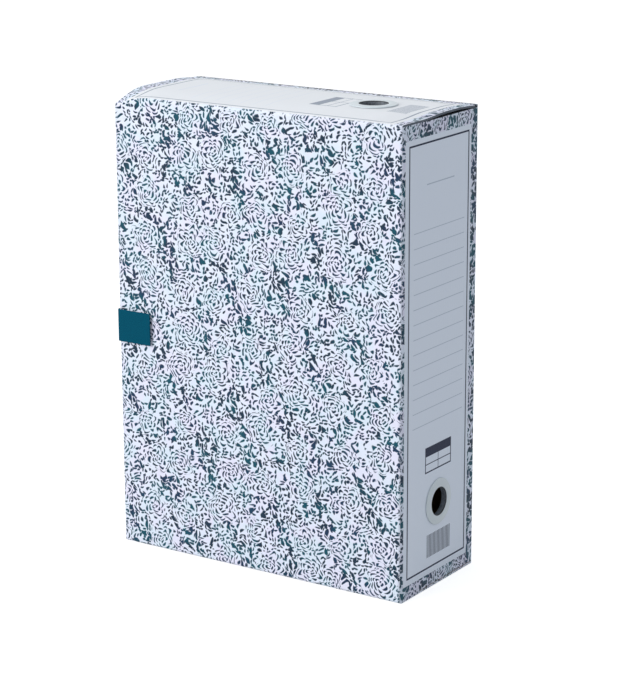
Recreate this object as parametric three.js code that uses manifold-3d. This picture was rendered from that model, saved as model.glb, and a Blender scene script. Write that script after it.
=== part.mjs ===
// Archive box file: a one-piece folded box of micro-flute board that opens at its fore edge.
// Millimetres, +Z up. The patterned front face looks along -Y, the spine along +X, the fore edge along -X.
import * as THREE from "three";
import { mergeVertices } from "three/addons/utils/BufferGeometryUtils.js";
import Module from "manifold-3d";

// Overall box
const boxWidth = 250; // fore edge to spine, along X
const boxDepth = 105; // front face to back face, along Y
const boxHeight = 350; // from the base to the top fold, along Z
const board = 1.6; // thickness of the micro-flute board
const foldRadius = 2.6; // outside radius of a folded edge
const looseFit = 0.5; // gap between a tucked edge and the wall it is tucked behind
const arcSteps = 5; // facets in a quarter turn of a fold
const mergeWithin = 1e-4; // points closer than this are one point

// Form of the top panel, which bows up and is crushed at its front fore-edge corner
const crownHeight = 2; // rise of the panel's flat middle
const crownAtSpine = 1.5; // rise along its cut edge at the spine
const crownFade = 30; // length over which the rise changes beside the spine
const crownRamp = 31; // depth of the slope from a fold up to the flat middle
const cornerDip = 7; // how far the crushed corner sits below the fold
const dipAlong = 34; // length of the crushed stretch, along X
const dipAcross = 38; // its depth, along Y
const dipSteps = 7; // facets along the crushed stretch
const fadeSteps = 6; // facets along the fade beside the spine
const panelRows = 18; // facets from front to back
const slitStart = 28; // where the slit above the spine opens, from the front face
const slitGap = 0.3; // the slit's height where it opens
const notchAlong = 7; // clipped corner of the top panel at spine and back, along X
const notchAcross = 4; // and along Y

// Flaps tucked inside
const tuckLength = 18; // tuck lip of the top and bottom panels, and of the closing flap
const tuckInset = 12; // lip ends stand this far in from the box's sides
const dustFlapLength = 36; // flap folded in from each end of the spine
const dustFlapInset = 4; // its clearance to the walls beside it

// Closing flap over the fore edge
const foldCut = 0.3; // gap along the fold on which the flap turns
const lipTilt = 6; // degrees that the tuck lip leans away from the front wall
const lipEndBottom = 14; // lip's lower end above the base
const lipEndTop = 24; // lip's upper end below the top fold
const earLength = 30; // rounded ear at each end of the flap, along X
const earCorner = 14; // radius of the ear's free corners
const earFront = 32; // ear's edge behind the front face
const earBack = 10; // ear's edge before the back face

// Finger holes with a two-piece plastic ring in each
const spineHoleHeight = 64; // centre of the spine's hole above the base
const topHoleFromSpine = 56.5; // centre of the top's hole from the spine
const holeDiameter = 24; // hole cut in the board
const throatClearance = 0.3; // between the ring's throat and the board
const ringDiameter = 35; // flange outside the board
const ringBore = 21; // finger opening
const flangeThickness = 1;
const flangeBevel = 0.35; // bevels of the flange's rim and of its bore
const flangeLift = 0.3; // flange clear of the board, and the washer clear of it inside
const washerDiameter = 33; // snap washer inside the board
const washerThickness = 1;
const washerClearance = 0.3; // between the washer and the throat
const throatBeyondWasher = 0.2; // the throat's end past the washer
const ringSides = 48;

// Closure strap of hook-and-loop tape
const strapWidth = 25;
const strapThickness = 0.8;
const strapBend = 1; // inside radius where it turns round the front edge
const strapCentreHeight = 174; // above the base
const strapOnFront = 29.6; // length on the front face
const strapOnFlap = 60; // length glued along the closing flap
const strapLift = 0.2; // strap or pad clear of what it lies on
const padThickness = 0.6; // hook pad and loop pad, each
const padInset = 1.5; // pad edges inside the strap's end and sides
const padFromEdge = 6; // pads start this far from the fore edge
const padCorner = 1.5;

// Places worked out from the sizes above
const foreX = -boxWidth / 2;
const spineX = boxWidth / 2;
const frontY = -boxDepth / 2;
const backY = boxDepth / 2;
const innerFold = foldRadius - board;
const padStack = 2 * (padThickness + strapLift);
const strapProud = padStack + strapLift + strapThickness;
const beyond = 5; // how far cutting bodies run past what they cut

const wasm = await Module();
wasm.setup();

// Solids and meshes
function solid(geometry) {
  const bare = geometry.index ? geometry.toNonIndexed() : geometry.clone();
  bare.deleteAttribute("normal");
  bare.deleteAttribute("uv");
  const merged = mergeVertices(bare, mergeWithin);
  const vertProperties = merged.attributes.position.array;
  const triVerts = new Uint32Array(merged.index.array);
  return new wasm.Manifold(new wasm.Mesh({ numProp: 3, vertProperties, triVerts }));
}

function geometryOf(manifold) {
  const { numProp, numVert, vertProperties, triVerts } = manifold.getMesh();
  const positions = new Float32Array(numVert * 3);
  for (let i = 0; i < numVert; i++) {
    positions.set(vertProperties.subarray(i * numProp, i * numProp + 3), i * 3);
  }
  const geometry = new THREE.BufferGeometry();
  geometry.setAttribute("position", new THREE.BufferAttribute(positions, 3));
  geometry.setIndex(new THREE.BufferAttribute(triVerts, 1));
  geometry.computeVertexNormals();
  return geometry;
}

function namedMesh(name, manifold, material) {
  const mesh = new THREE.Mesh(geometryOf(manifold), material);
  mesh.name = name;
  return mesh;
}

// A box between two corners.
function block([x0, y0, z0], [x1, y1, z1]) {
  const geometry = new THREE.BoxGeometry(x1 - x0, y1 - y0, z1 - z0);
  geometry.translate((x0 + x1) / 2, (y0 + y1) / 2, (z0 + z1) / 2);
  return solid(geometry);
}

// A plan outline in X and Y carried up from z0 to z1.
function upright(shape, z0, z1) {
  const geometry = new THREE.ExtrudeGeometry(shape, {
    depth: z1 - z0,
    bevelEnabled: false,
    curveSegments: arcSteps,
  });
  geometry.translate(0, 0, z0);
  return solid(geometry);
}

// A closed body through rings of points, one ring at each x. Each ring runs from the back,
// along the underside to the front, up, and back along the top.
function loft(stations, ringAt) {
  const rings = stations.map((x) => ringAt(x).map(([y, z]) => new THREE.Vector3(x, y, z)));
  const count = rings[0].length;
  const corners = [];
  for (let i = 0; i + 1 < rings.length; i++) {
    for (let k = 0; k < count; k++) {
      const next = (k + 1) % count;
      corners.push(rings[i][k], rings[i + 1][next], rings[i][next]);
      corners.push(rings[i][k], rings[i + 1][k], rings[i + 1][next]);
    }
  }
  const middle = (ring) => {
    const sum = ring.reduce((total, point) => total.add(point), new THREE.Vector3());
    return sum.divideScalar(count);
  };
  const first = rings[0];
  const last = rings.at(-1);
  for (let k = 0; k < count; k++) {
    const next = (k + 1) % count;
    corners.push(middle(first), first[k], first[next]);
    corners.push(middle(last), last[next], last[k]);
  }
  return solid(new THREE.BufferGeometry().setFromPoints(corners));
}

// Height of the top panel
const smooth = (s) => THREE.MathUtils.smoothstep(s, 0, 1);

function topHeight(x, y) {
  const fromFront = y - frontY;
  const fromFore = x - foreX;
  const besideSpine = 1 - smooth((spineX - x) / crownFade);
  const crown = THREE.MathUtils.lerp(crownHeight, crownAtSpine, besideSpine);
  const fromFlat = Math.min(fromFront - slitStart * besideSpine, boxDepth - fromFront);
  const along = Math.max(0, 1 - fromFore / dipAlong) ** 2;
  const across = Math.max(0, 1 - fromFront / dipAcross) ** 2;
  return boxHeight + crown * smooth(fromFlat / crownRamp) - cornerDip * along * across;
}

// Stations along X, closer together where the top panel changes form
function evenly(from, to, count) {
  return Array.from({ length: count + 1 }, (_, i) => from + ((to - from) * i) / count);
}

const dipStations = evenly(foreX, foreX + dipAlong, dipSteps);
const fadeStations = evenly(spineX - crownFade, spineX, fadeSteps);

function arcPoints(centreY, centreZ, radius, fromDegrees, toDegrees) {
  return evenly(fromDegrees, toDegrees, arcSteps).map((degrees) => {
    const angle = THREE.MathUtils.degToRad(degrees);
    return [centreY + radius * Math.cos(angle), centreZ + radius * Math.sin(angle)];
  });
}

// The box seen along X, at one station, with every wall moved in by the inset
function sideRing(x, inset) {
  const radius = foldRadius - inset;
  const foldY = frontY + foldRadius;
  const foldZ = topHeight(x, foldY) - foldRadius;
  const rows = evenly(foldY, backY - inset, panelRows).slice(1);
  return [
    [backY - inset, inset],
    ...arcPoints(foldY, foldRadius, radius, 270, 180),
    ...arcPoints(foldY, foldZ, radius, 180, 90),
    ...rows.map((y) => [y, topHeight(x, y) - inset]),
  ];
}

// Plan of the box: folds at both sides of the spine, cut edges at the fore edge
function planOutline() {
  const shape = new THREE.Shape();
  const corner = foldRadius;
  shape.moveTo(foreX, frontY);
  shape.lineTo(spineX - corner, frontY);
  shape.absarc(spineX - corner, frontY + corner, corner, -Math.PI / 2, 0);
  shape.lineTo(spineX, backY - corner);
  shape.absarc(spineX - corner, backY - corner, corner, 0, Math.PI / 2);
  shape.lineTo(foreX + corner, backY);
  shape.absarc(foreX + corner, backY - corner, corner, Math.PI / 2, Math.PI);
  shape.lineTo(foreX, frontY);
  return shape;
}

const slotFront = backY - board - looseFit; // front side of the slot behind a tucked edge

// Walls: outer form less the cavity
function boxWalls() {
  const outer = loft([...dipStations, ...fadeStations], (x) => sideRing(x, 0));
  const innerStations = [foreX - beyond, ...dipStations, ...fadeStations.slice(0, -1), spineX - board];
  const cavity = loft(innerStations, (x) => sideRing(Math.max(x, foreX), board));
  return outer.intersect(upright(planOutline(), -beyond, boxHeight + 2 * beyond)).subtract(cavity);
}

// The slit that the bowed top panel leaves above the spine's upper edge
function spineSlit() {
  const rows = evenly(frontY + slitStart, slotFront, panelRows);
  const ledge = boxHeight - board - slitGap;
  const ringAt = (x) => {
    const station = Math.min(x, spineX);
    const upper = rows.map((y) => [y, topHeight(station, y) - board]);
    return [[slotFront, ledge], [frontY + slitStart, ledge], ...upper];
  };
  return loft([spineX - board - looseFit, spineX, spineX + beyond], ringAt);
}

// Slots between the back wall and the tucked edges, and the shut slit under the spine
function tuckSlots() {
  const across = [foreX - beyond, spineX - foldRadius];
  const top = block(
    [across[0], slotFront, boxHeight - 2 * board],
    [across[1], backY - board, boxHeight + beyond],
  );
  const bottom = block([across[0], slotFront, -beyond], [across[1], backY - board, 2 * board]);
  const underSpine = block(
    [spineX - board - looseFit, frontY + slitStart, board],
    [spineX + beyond, slotFront, board + looseFit],
  );
  return top.add(bottom).add(underSpine);
}

// Clipped corner of the top panel where spine and back meet
function cornerNotch() {
  const shape = new THREE.Shape();
  const edgeX = spineX - innerFold;
  shape.moveTo(edgeX - notchAlong, backY - board);
  shape.lineTo(edgeX, backY - board - notchAcross);
  shape.lineTo(spineX + beyond, backY - board - notchAcross);
  shape.lineTo(spineX + beyond, backY - foldRadius);
  shape.lineTo(spineX - foldRadius, backY - foldRadius);
  shape.lineTo(spineX - foldRadius, backY - board);
  return upright(shape, boxHeight - board, boxHeight + beyond);
}

// The closing flap's half of the fold, left out of the back wall
function foldRelief() {
  const shape = new THREE.Shape();
  const shift = foldCut / Math.SQRT2;
  const centreX = foreX + foldRadius + shift;
  const centreY = backY - foldRadius;
  const rise = slotFront - centreY;
  shape.moveTo(foreX - beyond, slotFront);
  shape.lineTo(centreX - rise, slotFront);
  shape.lineTo(centreX - foldRadius - beyond, backY + beyond);
  shape.lineTo(foreX - beyond, backY + beyond);
  return upright(shape, -beyond, boxHeight + beyond);
}

function fingerHoles() {
  const spineHole = new THREE.CylinderGeometry(holeDiameter / 2, holeDiameter / 2, 4 * beyond, ringSides);
  spineHole.rotateZ(Math.PI / 2);
  spineHole.translate(spineX, 0, spineHoleHeight);
  const topHole = new THREE.CylinderGeometry(holeDiameter / 2, holeDiameter / 2, 4 * beyond, ringSides);
  topHole.rotateX(Math.PI / 2);
  topHole.translate(spineX - topHoleFromSpine, 0, boxHeight);
  return solid(spineHole).add(solid(topHole));
}

// Tuck lips of the top and bottom panels, behind the back wall
function tuckLips() {
  const side = [foreX + tuckInset, spineX - tuckInset];
  const upper = block(
    [side[0], slotFront - board, boxHeight - board - tuckLength],
    [side[1], slotFront, boxHeight - board / 2],
  );
  const lower = block(
    [side[0], slotFront - board, board / 2],
    [side[1], slotFront, board + tuckLength],
  );
  return upper.add(lower);
}

// Dust flaps folded in from both ends of the spine
function dustFlaps() {
  const near = frontY + board + dustFlapInset;
  const far = slotFront - board - dustFlapInset;
  const reach = [spineX - board - dustFlapLength, spineX - board / 2];
  const upperTop = boxHeight - board - looseFit;
  const lowerBottom = board + looseFit;
  const upper = block([reach[0], near, upperTop - board], [reach[1], far, upperTop]);
  const lower = block([reach[0], near, lowerBottom], [reach[1], far, lowerBottom + board]);
  return upper.add(lower);
}

function boxBody() {
  return boxWalls()
    .subtract(spineSlit())
    .subtract(tuckSlots())
    .subtract(cornerNotch())
    .subtract(foldRelief())
    .add(tuckLips())
    .add(dustFlaps())
    .subtract(fingerHoles());
}

// Closing flap: a panel inside the cut edges of the other walls, with a tuck lip and two ears
const flapFront = frontY + board + looseFit; // outside of the fold to the lip
const flapBottom = board + looseFit;
const flapTop = boxHeight - board - looseFit;

function flapOutline() {
  const shape = new THREE.Shape();
  const tilt = THREE.MathUtils.degToRad(lipTilt);
  const foldX = foreX + foldRadius;
  const foldY = flapFront + foldRadius;
  const hingeY = backY - foldRadius;
  const shift = foldCut / Math.SQRT2;
  const lipTurn = -Math.PI / 2 + tilt;
  const lipX = Math.cos(tilt) * tuckLength;
  const lipY = Math.sin(tilt) * tuckLength;
  const at = (radius, angle) => [foldX + radius * Math.cos(angle), foldY + radius * Math.sin(angle)];
  const [outX, outY] = at(foldRadius, lipTurn);
  const [inX, inY] = at(innerFold, lipTurn);
  shape.moveTo(foreX, hingeY);
  shape.lineTo(foreX, foldY);
  shape.absarc(foldX, foldY, foldRadius, Math.PI, 2 * Math.PI + lipTurn);
  shape.lineTo(outX + lipX, outY + lipY);
  shape.lineTo(inX + lipX, inY + lipY);
  shape.lineTo(inX, inY);
  shape.absarc(foldX, foldY, innerFold, 2 * Math.PI + lipTurn, Math.PI, true);
  shape.lineTo(foreX + board, hingeY);
  shape.absarc(foldX, hingeY, innerFold, Math.PI, (3 * Math.PI) / 4, true);
  shape.lineTo(foldX - foldRadius / Math.SQRT2 - shift / 2, hingeY + foldRadius / Math.SQRT2 - shift / 2);
  shape.absarc(foldX, hingeY, foldRadius, (3 * Math.PI) / 4 + shift / foldRadius, Math.PI);
  return shape;
}

function earOutline() {
  const shape = new THREE.Shape();
  const near = frontY + earFront;
  const far = backY - earBack;
  const tip = foreX + earLength;
  shape.moveTo(foreX + board / 2, near);
  shape.lineTo(tip - earCorner, near);
  shape.absarc(tip - earCorner, near + earCorner, earCorner, -Math.PI / 2, 0);
  shape.lineTo(tip, far - earCorner);
  shape.absarc(tip - earCorner, far - earCorner, earCorner, 0, Math.PI / 2);
  shape.lineTo(foreX + board / 2, far);
  return shape;
}

function closingFlap() {
  const lipRoom = foreX + foldRadius + board;
  const aboveLip = block(
    [lipRoom, frontY, boxHeight - lipEndTop],
    [lipRoom + tuckLength, flapFront + foldRadius + tuckLength, boxHeight + beyond],
  );
  const belowLip = block(
    [lipRoom, frontY, -beyond],
    [lipRoom + tuckLength, flapFront + foldRadius + tuckLength, lipEndBottom],
  );
  const clearance = loft([foreX - beyond, ...dipStations], (x) =>
    sideRing(Math.max(x, foreX), board + looseFit),
  );
  const panel = upright(flapOutline(), flapBottom, flapTop).subtract(aboveLip).subtract(belowLip);
  const hingeSide = block(
    [foreX - beyond, backY - foldRadius - looseFit, flapBottom],
    [foreX + foldRadius, backY + beyond, flapTop],
  );
  return panel
    .intersect(clearance.add(hingeSide))
    .add(upright(earOutline(), flapTop - board, flapTop))
    .add(upright(earOutline(), flapBottom, flapBottom + board));
}

// Finger rings: profiles of radius and height, turned round the hole's axis
function turned(profile) {
  const geometry = new THREE.LatheGeometry(
    profile.map(([radius, height]) => new THREE.Vector2(radius, height)),
    ringSides,
  );
  geometry.rotateX(Math.PI / 2);
  return solid(geometry);
}

const throatRadius = holeDiameter / 2 - throatClearance;
const throatEnd = -(board + flangeLift + washerThickness + throatBeyondWasher);

function fingerRing() {
  const bore = ringBore / 2;
  const rim = ringDiameter / 2;
  const face = flangeLift + flangeThickness;
  return turned([
    [bore, throatEnd],
    [throatRadius, throatEnd],
    [throatRadius, flangeLift],
    [rim, flangeLift],
    [rim, face - flangeBevel],
    [rim - flangeBevel, face],
    [bore + flangeBevel, face],
    [bore, face - flangeBevel],
    [bore, throatEnd],
  ]);
}

function snapWasher() {
  const inner = throatRadius + washerClearance;
  const outer = washerDiameter / 2;
  const upper = -(board + flangeLift);
  return turned([
    [inner, upper - washerThickness],
    [outer, upper - washerThickness],
    [outer, upper],
    [inner, upper],
    [inner, upper - washerThickness],
  ]);
}

// Closure strap, seen from above: along the closing flap, round the front edge, over the pads
function strapOutline() {
  const shape = new THREE.Shape();
  const innerX = foreX - strapLift;
  const outerX = innerX - strapThickness;
  const innerY = frontY - padStack - strapLift;
  const outerY = innerY - strapThickness;
  const turn = strapThickness + strapBend;
  const endX = foreX + strapOnFront;
  shape.moveTo(innerX, frontY + strapOnFlap);
  shape.lineTo(outerX, frontY + strapOnFlap);
  shape.lineTo(outerX, outerY + turn);
  shape.absarc(outerX + turn, outerY + turn, turn, Math.PI, 1.5 * Math.PI);
  shape.lineTo(endX, outerY);
  shape.lineTo(endX, innerY);
  shape.lineTo(outerX + turn, innerY);
  shape.absarc(outerX + turn, innerY + strapBend, strapBend, 1.5 * Math.PI, Math.PI, true);
  shape.lineTo(innerX, frontY + strapOnFlap);
  return shape;
}

function closureStrap() {
  const low = strapCentreHeight - strapWidth / 2;
  return upright(strapOutline(), low, low + strapWidth);
}

// A pad on the front face, its inner side a given distance in front of the wall
function tapePad(standOff) {
  const shape = new THREE.Shape();
  const corner = padCorner;
  const x0 = foreX + padFromEdge;
  const x1 = foreX + strapOnFront - padInset;
  const z0 = strapCentreHeight - strapWidth / 2 + padInset;
  const z1 = strapCentreHeight + strapWidth / 2 - padInset;
  shape.moveTo(x0 + corner, z0);
  shape.lineTo(x1 - corner, z0);
  shape.absarc(x1 - corner, z0 + corner, corner, -Math.PI / 2, 0);
  shape.lineTo(x1, z1 - corner);
  shape.absarc(x1 - corner, z1 - corner, corner, 0, Math.PI / 2);
  shape.lineTo(x0 + corner, z1);
  shape.absarc(x0 + corner, z1 - corner, corner, Math.PI / 2, Math.PI);
  shape.lineTo(x0, z0 + corner);
  shape.absarc(x0 + corner, z0 + corner, corner, Math.PI, 1.5 * Math.PI);
  const geometry = new THREE.ExtrudeGeometry(shape, {
    depth: padThickness,
    bevelEnabled: false,
    curveSegments: arcSteps,
  });
  geometry.rotateX(Math.PI / 2);
  geometry.translate(0, frontY - standOff, 0);
  return solid(geometry);
}

// Materials
const finish = (color, roughness) =>
  new THREE.MeshStandardMaterial({ color, roughness, metalness: 0 });
const printedBoard = finish(0xc3cfdf, 0.6);
const ringPlastic = finish(0xbfcdcc, 0.35);
const tealTape = finish(0x0b5068, 0.85);
const tealHooks = finish(0x0a4358, 0.9);

// The box, with its origin under the middle of everything it holds
const box = new THREE.Group();
box.position.set((strapLift + strapThickness - flangeLift - flangeThickness) / 2, strapProud / 2, 0);
box.add(namedMesh("box_body", boxBody(), printedBoard));
box.add(namedMesh("closing_flap", closingFlap(), printedBoard));
box.add(namedMesh("closure_strap", closureStrap(), tealTape));
box.add(namedMesh("hook_pad", tapePad(padThickness + 2 * strapLift), tealHooks));
box.add(namedMesh("loop_pad", tapePad(strapLift), tealTape));

const spineRing = new THREE.Group();
spineRing.position.set(spineX, 0, spineHoleHeight);
spineRing.rotation.y = Math.PI / 2;
spineRing.add(namedMesh("spine_finger_ring", fingerRing(), ringPlastic));
spineRing.add(namedMesh("spine_ring_washer", snapWasher(), ringPlastic));
box.add(spineRing);

const topRing = new THREE.Group();
topRing.position.set(spineX - topHoleFromSpine, 0, boxHeight + crownHeight);
topRing.add(namedMesh("top_finger_ring", fingerRing(), ringPlastic));
topRing.add(namedMesh("top_ring_washer", snapWasher(), ringPlastic));
box.add(topRing);

const part = new THREE.Group();
part.add(box);

export default part;
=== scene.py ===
import math

import bmesh
import bpy
import numpy as np
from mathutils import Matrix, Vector


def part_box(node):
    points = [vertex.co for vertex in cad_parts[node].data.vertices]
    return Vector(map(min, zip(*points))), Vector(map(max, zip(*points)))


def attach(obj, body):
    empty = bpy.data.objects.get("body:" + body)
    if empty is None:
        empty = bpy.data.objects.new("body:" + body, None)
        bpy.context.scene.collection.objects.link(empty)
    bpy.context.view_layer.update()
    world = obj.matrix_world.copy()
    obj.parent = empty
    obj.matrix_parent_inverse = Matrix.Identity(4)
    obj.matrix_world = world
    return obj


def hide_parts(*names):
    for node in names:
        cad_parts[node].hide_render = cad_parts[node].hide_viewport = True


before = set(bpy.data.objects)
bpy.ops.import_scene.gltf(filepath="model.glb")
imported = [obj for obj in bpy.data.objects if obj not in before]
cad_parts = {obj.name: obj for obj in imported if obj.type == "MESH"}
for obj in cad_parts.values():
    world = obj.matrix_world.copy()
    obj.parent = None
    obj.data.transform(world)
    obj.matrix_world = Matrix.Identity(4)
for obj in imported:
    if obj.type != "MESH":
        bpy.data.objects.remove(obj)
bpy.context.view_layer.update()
mm = 0.001
scene = bpy.context.scene

# where the box stands in the row's frame, read from its nodes
boxLow, boxHigh = (np.array(corner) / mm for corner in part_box("box_body"))
foreX, frontY, _ = boxLow
spineX, backY, _ = boxHigh


# Camera: the photograph's viewpoint, found from the box's corners
cameraSettings = {
    "place": (1084.7, -1366.1, 629.2),  # mm from the box's lower front corner at the fore edge
    "azimuth": 33.72,
    "elevation": 15.04,
    "roll": -0.24,
    "lens": 125.75,
    "sensorWidth": 36.0,
    "clipEnd": 20.0,
}


def makeCamera(values):
    azimuth, elevation = math.radians(values["azimuth"]), math.radians(values["elevation"])
    data = bpy.data.cameras.new("photoCamera")
    data.lens = values["lens"]
    data.sensor_width = values["sensorWidth"]
    data.clip_end = values["clipEnd"]
    camera = bpy.data.objects.new("photoCamera", data)
    scene.collection.objects.link(camera)
    corner = Vector((foreX, frontY, 0))
    camera.location = (corner + Vector(values["place"])) * mm
    flat = math.cos(elevation)
    forward = Vector((-math.sin(azimuth) * flat, math.cos(azimuth) * flat, -math.sin(elevation)))
    camera.rotation_euler = forward.to_track_quat("-Z", "Y").to_euler()
    camera.rotation_euler.rotate_axis("Z", math.radians(values["roll"]))
    scene.camera = camera


makeCamera(cameraSettings)
print("camera placed")


# sRGB hex to the linear values that nodes take
def linear(hexColour, alpha=1.0):
    parts = np.array([int(hexColour[i : i + 2], 16) / 255 for i in (1, 3, 5)])
    values = np.where(parts <= 0.04045, parts / 12.92, ((parts + 0.055) / 1.055) ** 2.4)
    return (*values.tolist(), alpha)


# adds a node with its settings and links, and gives the output that is asked for
def addNode(tree, kind, inputs=(), out=0, **settings):
    node = tree.nodes.new(kind)
    for key, value in settings.items():
        setattr(node, key, value)
    for key, value in inputs.items() if isinstance(inputs, dict) else enumerate(inputs):
        if isinstance(value, bpy.types.NodeSocket):
            tree.links.new(value, node.inputs[key])
        elif value is not None:
            node.inputs[key].default_value = value
    return node.outputs[out]


def newMaterial(name):
    material = bpy.data.materials.new(name)
    material.use_nodes = True
    tree = material.node_tree
    tree.nodes.clear()
    return material, tree


def finishMaterial(tree, shaderInputs):
    shader = addNode(tree, "ShaderNodeBsdfPrincipled", shaderInputs)
    output = tree.nodes.new("ShaderNodeOutputMaterial")
    tree.links.new(shader, output.inputs["Surface"])


# The board's own values, in mm as in the solids
boardShape = {
    "thickness": 1.6,
    "foldTop": 350.0,
    "foldDepth": 1.2,  # a fold's facets lie this close to the face they belong to
    "smoothAngle": 35.0,
    "mergeGap": 0.001,
    "outward": 0.7,  # least share of a face's normal along the side that it looks out of
    "topOutward": 0.5,  # the same for the top, which bends down at the fore edge
    "topDrop": 8.0,  # the bend goes down by less than this
    "topBend": 45.0,  # and ends this far from the fore edge
    "undersideSlack": 0.2,
    "dustFlapGap": 0.5,  # from the top's underside to the dust flap below it
    "levelSlack": 0.05,
    "topCorner": 3.0,  # the top's corner at the spine and the back belongs to the cut edges
    "edgeDepth": 3.0,  # upward cut edges lie this close to the top fold
    "slitReach": 9.0,  # the slit's edges lie this close to the top of the spine
}


# Printed board: offset-printed liner of white-coated paper on micro-flute board, satin varnished.
# Lengths are in mm and scales are per mm.
floralPrint = {
    "warpScale": 0.07,  # the whole print is bent by a slow wave and a quicker one
    "warpDetail": 1.0,
    "warpReach": (6.0, 6.0, 0.0),
    "rippleScale": 0.14,
    "rippleDetail": 0.0,
    "rippleReach": (1.6, 1.6, 0.0),
    "markScatter": 0.75,
    "edge": 0.45,  # softness of the ink's edge
    "strokeShare": 0.9,
    "cloudScale": 0.055,
    "coolFrom": (0.42, 0.6),
    "warmFrom": (0.5, 0.62),
    "mostWarm": 0.7,
    "ground": "#e4e8f5",
    "groundCool": "#dce6f1",
    "groundWarm": "#e7e3f4",
    "slate": "#1a2f41",
    "teal": "#0f4c5b",
    "navy": "#1e3353",
    "flutePitch": 3.2,
    "fluteHeight": 0.12,
    # the spine's heavier print is partly painted shade: it darkens the spine's ink, which takes less
    # sheen than the front's
    "spineLeaves": 0.5,  # the spine's print is heavier: this many more of its leaves are there
    "spineWidth": 1.25,  # and its strokes and leaves are this many times as wide
}
# length and width are halves, and a mark lies at turn, give or take half of spread, in radians
strokeMark = {"pitch": 3.2, "length": 2.1, "width": 1.08, "bend": 0.14, "turn": 0.95, "spread": 4.0}
leafMark = {"pitch": 6.2, "length": 3.4, "width": 1.68, "bend": 0.05, "turn": 1.1, "spread": 1.1}
leafChains = {
    "pitch": 42.0,  # from one diagonal chain of dark leaves to the next
    "across": (0.888, 0.46, 0.0),
    "cosine": (0.4, 0.8),  # where a chain starts and is at its thickest
    "share": (0.2, 0.97),  # how many of the leaves are there, away from a chain and in it
}
blossomShape = {
    "pitch": 34.0,
    "scatter": 0.5,
    "radius": 10.5,
    "radiusSpread": 4.0,
    "margin": 0.8,  # left bare round a blossom
    "lobes": 5.0,  # how often the outline swells and shrinks
    "swell": 0.1,
    "phaseSpread": 6.0,
    "petalStep": 2.9,  # from one ring of petals to the next
    "morePetals": 3.0,  # a ring has this many petals more than the last
    "ringTurn": 0.37,
    "petalMiddle": 0.62,  # this and the rest are shares of a step across and of a petal along
    "petalBend": 1.6,
    "petalSlant": 0.4,
    "petalWidth": 0.35,
    "petalTaper": 1.2,
    "petalEdge": 0.14,
}
printWear = {
    "colour": "#d9dde6",
    "scale": 0.5,
    "level": 0.38,
    "reach": 9.0,
    "edge": 0.6,
    "most": 0.5,
}


# Ink of curved marks, one round each scattered centre: half the width shrinks to nothing at both ends
# as 1 minus the square of the place along the mark, and its middle line bends as that square.
def markInk(tree, place, mark, wider, present):
    cells = addNode(
        tree, "ShaderNodeTexVoronoi",
        {"Vector": place, "Scale": 1 / mark["pitch"], "Randomness": floralPrint["markScatter"]},
        out="Position", voronoi_dimensions="2D",
    )
    random = addNode(tree, "ShaderNodeSeparateXYZ", [cells.node.outputs["Color"]])
    offset = addNode(tree, "ShaderNodeVectorMath", [place, cells], operation="SUBTRACT")
    angle = addNode(tree, "ShaderNodeMath", [random, -0.5], operation="ADD")
    angle = addNode(
        tree, "ShaderNodeMath", [angle, mark["spread"], mark["turn"]], operation="MULTIPLY_ADD"
    )
    turned = addNode(
        tree, "ShaderNodeVectorRotate", {"Vector": offset, "Angle": angle}, rotation_type="Z_AXIS"
    )
    along = addNode(tree, "ShaderNodeSeparateXYZ", [turned])
    across = along.node.outputs[1]
    square = addNode(tree, "ShaderNodeMath", [along, along], operation="MULTIPLY")
    middle = addNode(
        tree, "ShaderNodeMath", [square, -mark["bend"], across], operation="MULTIPLY_ADD"
    )
    fromMiddle = addNode(tree, "ShaderNodeMath", [middle], operation="ABSOLUTE")
    width = mark["width"] * wider
    halfWidth = addNode(
        tree, "ShaderNodeMath", [square, -width / mark["length"] ** 2, width],
        operation="MULTIPLY_ADD",
    )
    inside = addNode(tree, "ShaderNodeMath", [halfWidth, fromMiddle], operation="SUBTRACT")
    shown = addNode(
        tree, "ShaderNodeMath", [random.node.outputs[1], present], operation="LESS_THAN"
    )
    drawn = addNode(tree, "ShaderNodeMapRange", [inside, 0.0, floralPrint["edge"], 0.0, 1.0])
    return addNode(tree, "ShaderNodeMath", [drawn, shown], operation="MULTIPLY")


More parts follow.
